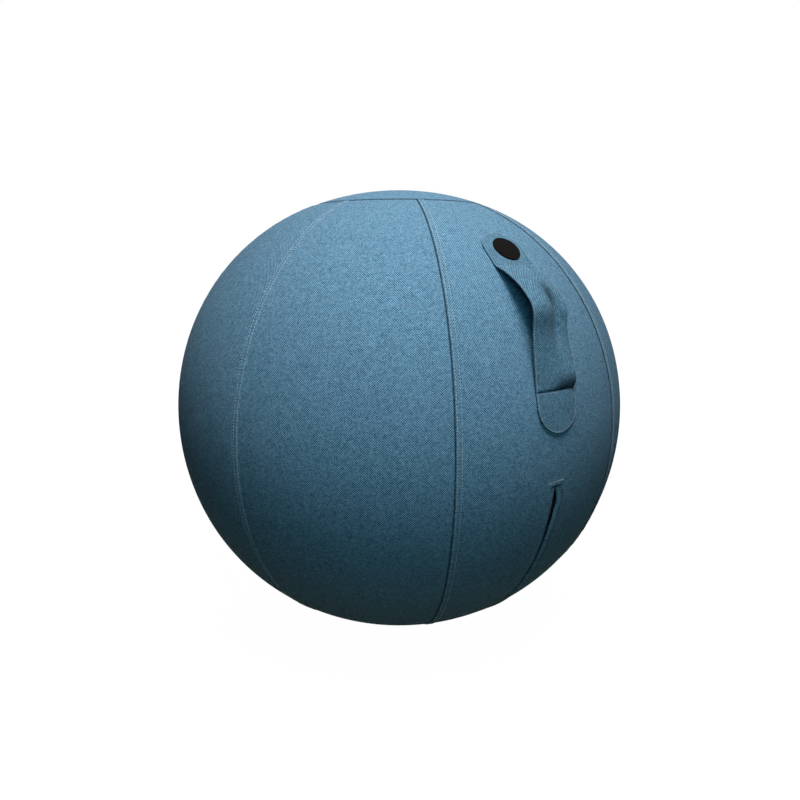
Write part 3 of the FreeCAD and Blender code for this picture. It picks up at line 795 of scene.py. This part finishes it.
def zipSheet(name, node, across, form, material, slotName):
    # a strip carried along the zip's arc, flat by the teeth with a soft step on each side
    wall, foot, step, stepStart, stepEnd = form
    height = foot + step * smoothStep(stepStart, stepEnd, np.abs(across))
    angle = np.linspace(zipArc["first"], zipArc["last"], 150)
    points = onZip(across[None, :], angle[:, None], height[None, :])
    along = np.radians(angle) * zipArc["radius"]
    section = np.append(0, np.cumsum(np.hypot(np.diff(across), np.diff(height))))
    cloth = np.stack(np.meshgrid(section, along), -1)
    strip = thicken(gridObject(name, points, cloth), wall)
    dress(strip, material, slotName, node)


tapeAcross = np.linspace(zipArc["tapeInner"], zipArc["tapeOuter"], 22)
for name, node, across in (("zipTapeRight", "zip_tape_right", tapeAcross),
                           ("zipTapeLeft", "zip_tape_left", -tapeAcross[::-1])):
    zipSheet(name, node, across, zipArc["tape"], zipTapeCloth, "zip_tape")
guardAcross = np.linspace(-zipArc["guardHalfWidth"], zipArc["guardHalfWidth"], 40)
zipSheet("zipGuardFlap", "zip_guard", guardAcross, zipArc["guard"], liningCloth, liningSlot)

for node, material in (
        ("zip_teeth_right", toothPlastic), ("zip_teeth_left", toothPlastic),
        ("zip_top_stop", zipEnamel), ("zip_bottom_stop", zipEnamel), ("zip_slider", zipEnamel),
        ("zip_pull", zipEnamel), ("valve_seat", valvePlastic), ("valve_plug", valvePlastic),
        ("base_grip_dots", gripRubber)):
    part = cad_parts[node]
    part.data.materials.clear()
    part.data.materials.append(material)

# bars of thread in millimetres: left and right place, left and right rise
slitBars = ((-13.0, 12.0, -13.4, -12.2), (-13.0, 12.0, -14.5, -13.3),
            (10.2, 16.4, -136.6, -134.8), (10.0, 16.2, -137.8, -136.0))


def makeSlitThreads(name):
    # a row down each hem, the bar at the slit's top and the small tack on the right
    runs = []
    rise = np.linspace(slitTopRise - 4 * mm, -270 * mm, 500)
    lipLeft, lipRight, roll = slitEdges(rise)
    left, right = lipLeft - roll, lipRight + roll
    for across in (right + slit["hemLine"], left - slit["hemLine"]):
        runs.append(goreStitches("hem", across, rise, frontRelief(across, rise, left, right)))
    share = np.linspace(0, 1, 60)
    for left, right, leftRise, rightRise in slitBars:
        across = (left + (right - left) * share) * mm
        rise = (leftRise + (rightRise - leftRise) * share) * mm
        runs.append(goreStitches("bar", across, rise, 0.15 * mm))
    dress(joinRuns(name, runs), edgeThread, coverSlot)


makeSlitThreads("slitThread")
print("zip made")


strap = {
    "halfWidth": 29.0 * mm, "layer": 1.4 * mm, "lining": 1.2 * mm, "between": 0.04 * mm,
    "sewn": 2.74 * mm, "flat": (0.058, 0.262), "area": 0.0141, "rows": 180, "columns": 45,
    "topCentre": 263.0 * mm, "bottomCentre": 73.0 * mm,
    "upperSeam": 240.0 * mm, "lowerSeam": 90.0 * mm,
    # rise above the equator, and there the height of each edge over the cover
    "leftRise": np.array([
        90, 99.5, 110, 122, 134.5, 147, 157, 164, 170, 175, 181, 188, 200, 213.5, 225, 233,
        240]) * mm,
    "leftLift": np.array([
        2.74, 3.6, 5.5, 8, 11.5, 16, 21, 25.2, 27.9, 28.6, 27.9, 26.2, 22.5, 16.8, 11.0, 6.6,
        2.74]) * mm,
    "rightRise": np.array([
        90, 93, 98, 104, 112, 130, 144.5, 156, 164, 171, 177, 185, 197, 208, 219.5, 230,
        240]) * mm,
    "rightLift": np.array([
        2.74, 5.2, 7.6, 8.2, 7.8, 8.2, 9.6, 12.8, 16.5, 19.8, 21.3, 20.8, 16.5, 13.4, 9.6, 5.6,
        2.74]) * mm,
    "edgeReach": 1.15, "hemTurn": 0.5 * mm, "drawnIn": 2.5 * mm,
    "drawnRise": 176 * mm, "drawnWidth": 30 * mm,
    "cupDepth": 8.0 * mm, "cupPlace": 12.0 * mm, "cupLeft": 10.0 * mm, "cupRight": 8.0 * mm,
    "cupTop": (178 * mm, 207 * mm), "cupFoot": (112 * mm, 178 * mm),
    "lowerDip": 0.9 * mm, "upperDip": 0.2 * mm, "dipWidth": 1.6 * mm,
    # painted shade: the lines at the two seams, in the hollow at the bend and in the tuck
    "lowerLine": 0.9, "upperLine": 0.1, "lineWidth": 0.9 * mm,
    "cupShade": 0.95, "cupShadePlace": (9.5 * mm, 189 * mm), "cupShadeSize": (9.5 * mm, 14 * mm),
    "tuckShade": 0.85, "tuckAcross": 10 * mm, "tuckRise": (94 * mm, 112 * mm),
    "stitchInset": 1.0 * mm, "tightRise": 160 * mm, "crossHalfWidth": 26 * mm,
    "kneeRise": 171 * mm, "bendStart": -3.0 * mm, "bendEnd": 21.0 * mm,
}


def strapLift(across, rise):
    # height over the cover: the left edge's curve passes into the right edge's across the strap,
    # and a lengthwise hollow lies right of the middle, deepest at the bend
    s = strap
    onLoop = (rise > s["lowerSeam"]) & (rise < s["upperSeam"])
    left, right = (
        np.where(onLoop, curveThrough(s[edge + "Rise"], s[edge + "Lift"], rise), s["sewn"])
        for edge in ("left", "right"))
    share = smoothStep(-s["edgeReach"], s["edgeReach"], across / s["halfWidth"])
    # the hollow starts steeply above the bend and runs out slowly below it
    along = (1 - smoothStep(*s["cupTop"], rise)) * smoothStep(*s["cupFoot"], rise) * onLoop
    width = np.where(across < s["cupPlace"], s["cupLeft"], s["cupRight"])
    cup = s["cupDepth"] * bell(across, s["cupPlace"], width) * along
    dips = (s["lowerDip"] * bell(rise, s["lowerSeam"], s["dipWidth"])
            + s["upperDip"] * bell(rise, s["upperSeam"], s["dipWidth"]))
    return left + (right - left) * share - cup - dips


def strapRows():
    # rises down the strap: round ends by the sine of an angle, the rest even, closer at the seams
    s = strap
    bow = s["halfWidth"] * np.sin(np.radians(np.linspace(88, 0, 34)))
    middle = np.linspace(s["topCentre"], s["bottomCentre"], s["rows"])[1:-1]
    fine = np.array([-2.4, -1.6, -0.9, -0.4, 0, 0.4, 0.9, 1.6, 2.4]) * mm
    rows = np.sort(np.concatenate([
        s["topCentre"] + bow, middle, s["bottomCentre"] - bow, s["upperSeam"] + fine,
        s["lowerSeam"] + fine]))[::-1]
    return rows[np.append(True, -np.diff(rows) > 0.05 * mm)]


def strapAcross(share, rise, inset):
    # place across at a share of the width, which ends in half circles and is drawn in on the
    # right at the bend
    s = strap
    beyond = np.maximum(np.maximum(rise - s["topCentre"], s["bottomCentre"] - rise), 0)
    half = np.sqrt(np.maximum((s["halfWidth"] - inset) ** 2 - beyond ** 2, (0.2 * mm) ** 2))
    drawn = s["drawnIn"] * bell(rise, s["drawnRise"], s["drawnWidth"])
    return share * half - drawn * (share + 1) / 2


def strapGrid(depth, inset):
    # columns that lie closer together at the edges
    rise = strapRows()[:, None]
    even = np.linspace(-1, 1, strap["columns"])
    share = np.sin(even * np.pi / 2) * 0.6 + even * 0.4
    across = strapAcross(share, rise, inset)
    rise = np.broadcast_to(rise, across.shape)
    # edges turn down a little, as a folded hem does
    edge = strap["hemTurn"] * smoothStep(0.93, 1.0, np.abs(share))
    return across, rise, strapLift(across, rise) - depth - edge * (depth == 0)


def bendStrap(piece):
    # bakes the piece's place into its mesh; the bend's two ends at the knee are not used
    liftAxis = np.array([0, -0.861629, 0.507538])
    knee = onGore(0.0, strap["kneeRise"])
    start, end = (tuple(knee + strap[key] * liftAxis) for key in ("bendStart", "bendEnd"))
    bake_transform(piece)
    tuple(start)
    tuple(end)


def strapShade(across, rise):
    # painted shade: dark lines where the free stretch leaves its sewn ends, and darkness
    # inside the hollow at the bend and in the tuck above the lower end
    s = strap
    lines = (s["lowerLine"] * bell(rise, s["lowerSeam"], s["lineWidth"])
             + s["upperLine"] * bell(rise, s["upperSeam"], s["lineWidth"]))
    place, placeRise = s["cupShadePlace"]
    width, height = s["cupShadeSize"]
    cup = s["cupShade"] * bell(across, place, width) * bell(rise, placeRise, height)
    above = (1 - smoothStep(*s["tuckRise"], rise)) * (rise > s["lowerSeam"])
    tuck = smoothStep(-s["tuckAcross"], s["tuckAcross"], across) * above
    return np.clip(lines + cup + s["tuckShade"] * tuck, 0, 1)


def makeStrapLayer(name, depth, thickness, inset, material, nodes):
    across, rise, lift = strapGrid(depth, inset)
    points = onGore(across, rise, lift)
    layer = gridObject(name, points, pair(across, rise), strapShade(across, rise))
    bendStrap(wear(thicken(layer, thickness), material))
    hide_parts(*nodes)


makeStrapLayer("carryStrap", 0.0, strap["layer"], 0.0, strapCloth,
               ("handle_upper_tab", "handle_lower_tab", "handle_loop"))
makeStrapLayer("carryStrapLining", strap["layer"] + strap["between"], strap["lining"], 0.3 * mm,
               liningCloth, ("handle_loop_lining",))


def makeStrapThreads(name):
    # rows a little inside the strap's edges, and one across each end of the free stretch
    s = strap
    runs = []
    bow = (s["halfWidth"] - s["stitchInset"]) * np.sin(np.radians(np.linspace(89, 0, 60)))
    straight = np.linspace(s["topCentre"], s["bottomCentre"], 500)[1:-1]
    rise = np.concatenate([s["topCentre"] + bow, straight, s["bottomCentre"] - bow[::-1]])
    for side in (-1.0, 1.0):
        across = strapAcross(side, rise, s["stitchInset"])
        lift = strapLift(across, rise)
        # the stitches of the right edge's upper part are drawn tighter into the cloth
        tight = (rise > s["tightRise"]) & (side > 0)
        for part, kind in ((tight, "tightEdge"), (~tight, "strapEdge")):
            if part.any():
                runs.append(goreStitches(kind, across, rise, lift, part=part))
    across = np.linspace(-s["crossHalfWidth"], s["crossHalfWidth"], 80)
    for seam in (s["upperSeam"] + 1.5 * mm, s["lowerSeam"] - 1.5 * mm):
        runs.append(goreStitches("strapEnd", across, seam, s["sewn"]))
    bendStrap(wear(joinRuns(name, runs), edgeThread))


makeStrapThreads("strapThread")

patch = {"halfWidth": 35 * mm, "gap": 0.04 * mm, "thickness": 0.7 * mm, "steps": 30}


def makePatch(name, node, first, last):
    # a stiff patch inside the cover behind a sewn end, between two angles from the top
    p = patch
    rise = np.linspace(riseAt(first), riseAt(last), p["steps"])
    across, down = np.meshgrid(np.linspace(-p["halfWidth"], p["halfWidth"], p["steps"]), rise)
    points = onGore(across, down, -cover["thickness"] - p["gap"])
    sheet = thicken(gridObject(name, points, pair(across, down)), p["thickness"])
    dress(sheet, liningCloth, liningSlot, node)


makePatch("strapPatchUpper", "handle_patch_upper", 35.84, 48.24)
makePatch("strapPatchLower", "handle_patch_lower", 72.76, 84.06)
print("strap made")


badge = {
    "radius": 17.5 * mm, "rise": 263.6 * mm, "across": 1.2 * mm, "columns": 97,
    # share of the radius, and height in millimetres
    "profile": np.array([
        (0.0, 1.30), (0.35, 1.29), (0.7, 1.27), (0.86, 1.24), (0.9, 1.24), (0.915, 1.30),
        (0.93, 1.48), (0.945, 1.57), (0.96, 1.60), (0.975, 1.57), (0.99, 1.42), (1.0, 1.15),
        (1.0, 0.5), (1.0, 0.0), (0.0, 0.0)]),
}


def makeBadge(name, node):
    # a round plate turned from its profile, then laid on the strap's sewn end
    b = badge
    reach = b["profile"][:, :1] * b["radius"]
    turn = np.linspace(0, 2 * np.pi, b["columns"])
    across = b["across"] + reach * np.sin(turn)
    rise = b["rise"] + reach * np.cos(turn)
    points = onGore(across, rise, strap["sewn"] + b["profile"][:, 1:] * mm)
    plate = weld(gridObject(name, points, pair(across, rise)))
    dress(plate, badgeCoat, "badge_plastic", node)


makeBadge("badgePlate", "handle_badge")
print("badge made")


studio = {
    "floorHalf": 6, "floorPale": (0.80, 0.80, 0.80, 1), "floorPaler": (0.84, 0.84, 0.84, 1),
    "floorBounce": (0.15, 0.11, 0.06, 1), "floorGlow": 1.04, "clearFrom": 0.45, "clearTo": 1.3,
    "clearShare": 0.955, "skyShare": 0.005, "target": Vector((0, 0, 0.35)),
    # place, size, watts and colour
    "lamps": {
        "topLamp": ((-0.2, -0.54, 1.63), 0.6, 19.3, (1.0, 0.885, 0.862)),
        "frontLamp": ((-0.47, -0.814, 0.692), 0.5, 1.3, (0.36, 0.85, 1.0)),
        "backLamp": ((1.1, 1.7, 1.3), 1.2, 11, (1, 1, 1)),
    },
}
eye = {"distance": 0.8779, "elevation": 15.29, "azimuth": -32.64, "lens": 24.95,
       "shift": (0.001, 0.007), "nearest": 0.01}


def seenDirectly(add, calc):
    # 1 for a ray of the camera, of a gloss or of glass, 0 for any other
    rays = add("ShaderNodeLightPath").outputs
    mirrored = calc("MAXIMUM", rays["Is Glossy Ray"], rays["Is Transmission Ray"])
    return calc("MAXIMUM", rays["Is Camera Ray"], mirrored)


def makeFloor():
    # a wide plain floor that looks white, keeps a light shadow and runs out into the white round it
    s = studio
    corners = np.array([[-1, -1, 0], [1, -1, 0], [1, 1, 0], [-1, 1, 0]])
    floor = meshObject("floor", s["floorHalf"] * corners, np.array([[0, 1, 2, 3]]))
    material, add, calc, mix = nodeKit("paleFloor")
    seen = seenDirectly(add, calc)
    place = add("ShaderNodeTexCoord").outputs["Object"]
    cloudy = add("ShaderNodeTexNoise", {"Vector": place, "Scale": 3.0}).outputs[0]
    tone = mix(seen, s["floorBounce"], mix(cloudy, s["floorPale"], s["floorPaler"]))
    matt = add("ShaderNodeBsdfDiffuse", {"Color": tone}).outputs[0]
    glow = {"Color": (1, 1, 1, 1), "Strength": s["floorGlow"]}
    white = add("ShaderNodeEmission", glow).outputs[0]
    away = add("ShaderNodeVectorMath", {0: place}, operation="LENGTH").outputs["Value"]
    clearing = add("ShaderNodeMapRange", {
        "Value": away, "From Min": s["clearFrom"], "From Max": s["clearTo"],
        "To Min": s["clearShare"], "To Max": 1.0}).outputs[0]
    both = add("ShaderNodeMixShader", {0: calc("MULTIPLY", seen, clearing), 1: matt, 2: white})
    add("ShaderNodeOutputMaterial", {0: both.outputs[0]})
    floor.data.materials.append(material)


def aim(thing, place, target):
    thing.location = place
    thing.rotation_euler = (target - Vector(place)).to_track_quat("-Z", "Y").to_euler()


def softLamp(name, place, size, watts, tone):
    lamp = bpy.data.lights.new(name, "AREA")
    lamp.shape = "DISK"
    lamp.size = size
    lamp.energy = watts
    lamp.color = tone
    thing = addObject(name, lamp)
    thing.visible_camera = False
    aim(thing, place, studio["target"])


def makeWorld():
    # white wherever it is seen, with hardly any light of its own
    world = bpy.data.worlds.new("studio")
    bpy.context.scene.world = world
    world.use_nodes = True
    add, calc, _ = nodeTools(world.node_tree)
    strength = add("ShaderNodeMapRange", {
        "Value": seenDirectly(add, calc), "To Min": studio["skyShare"], "To Max": 1.0}).outputs[0]
    sky = add("ShaderNodeBackground", {0: (1, 1, 1, 1), 1: strength}).outputs[0]
    add("ShaderNodeOutputWorld", {0: sky})


def makeCamera():
    # on a sphere round the ball's middle, looking at it, at the photo's angle and distance
    e = eye
    around, up = np.radians(e["azimuth"]), np.radians(e["elevation"])
    target = Vector((0, 0, equatorHeight))
    away = Vector((np.sin(around) * np.cos(up), -np.cos(around) * np.cos(up), np.sin(up)))
    data = bpy.data.cameras.new("camera")
    data.sensor_fit = "HORIZONTAL"
    data.sensor_width = 36
    data.lens = e["lens"]
    data.shift_x, data.shift_y = e["shift"]
    data.clip_start = e["nearest"]
    camera = addObject("camera", data)
    aim(camera, target + e["distance"] * away, target)
    bpy.context.scene.camera = camera


makeFloor()
for name, look in studio["lamps"].items():
    softLamp(name, *look)
makeWorld()
makeCamera()
bpy.context.scene.view_settings.view_transform = "Standard"
print("stage made")
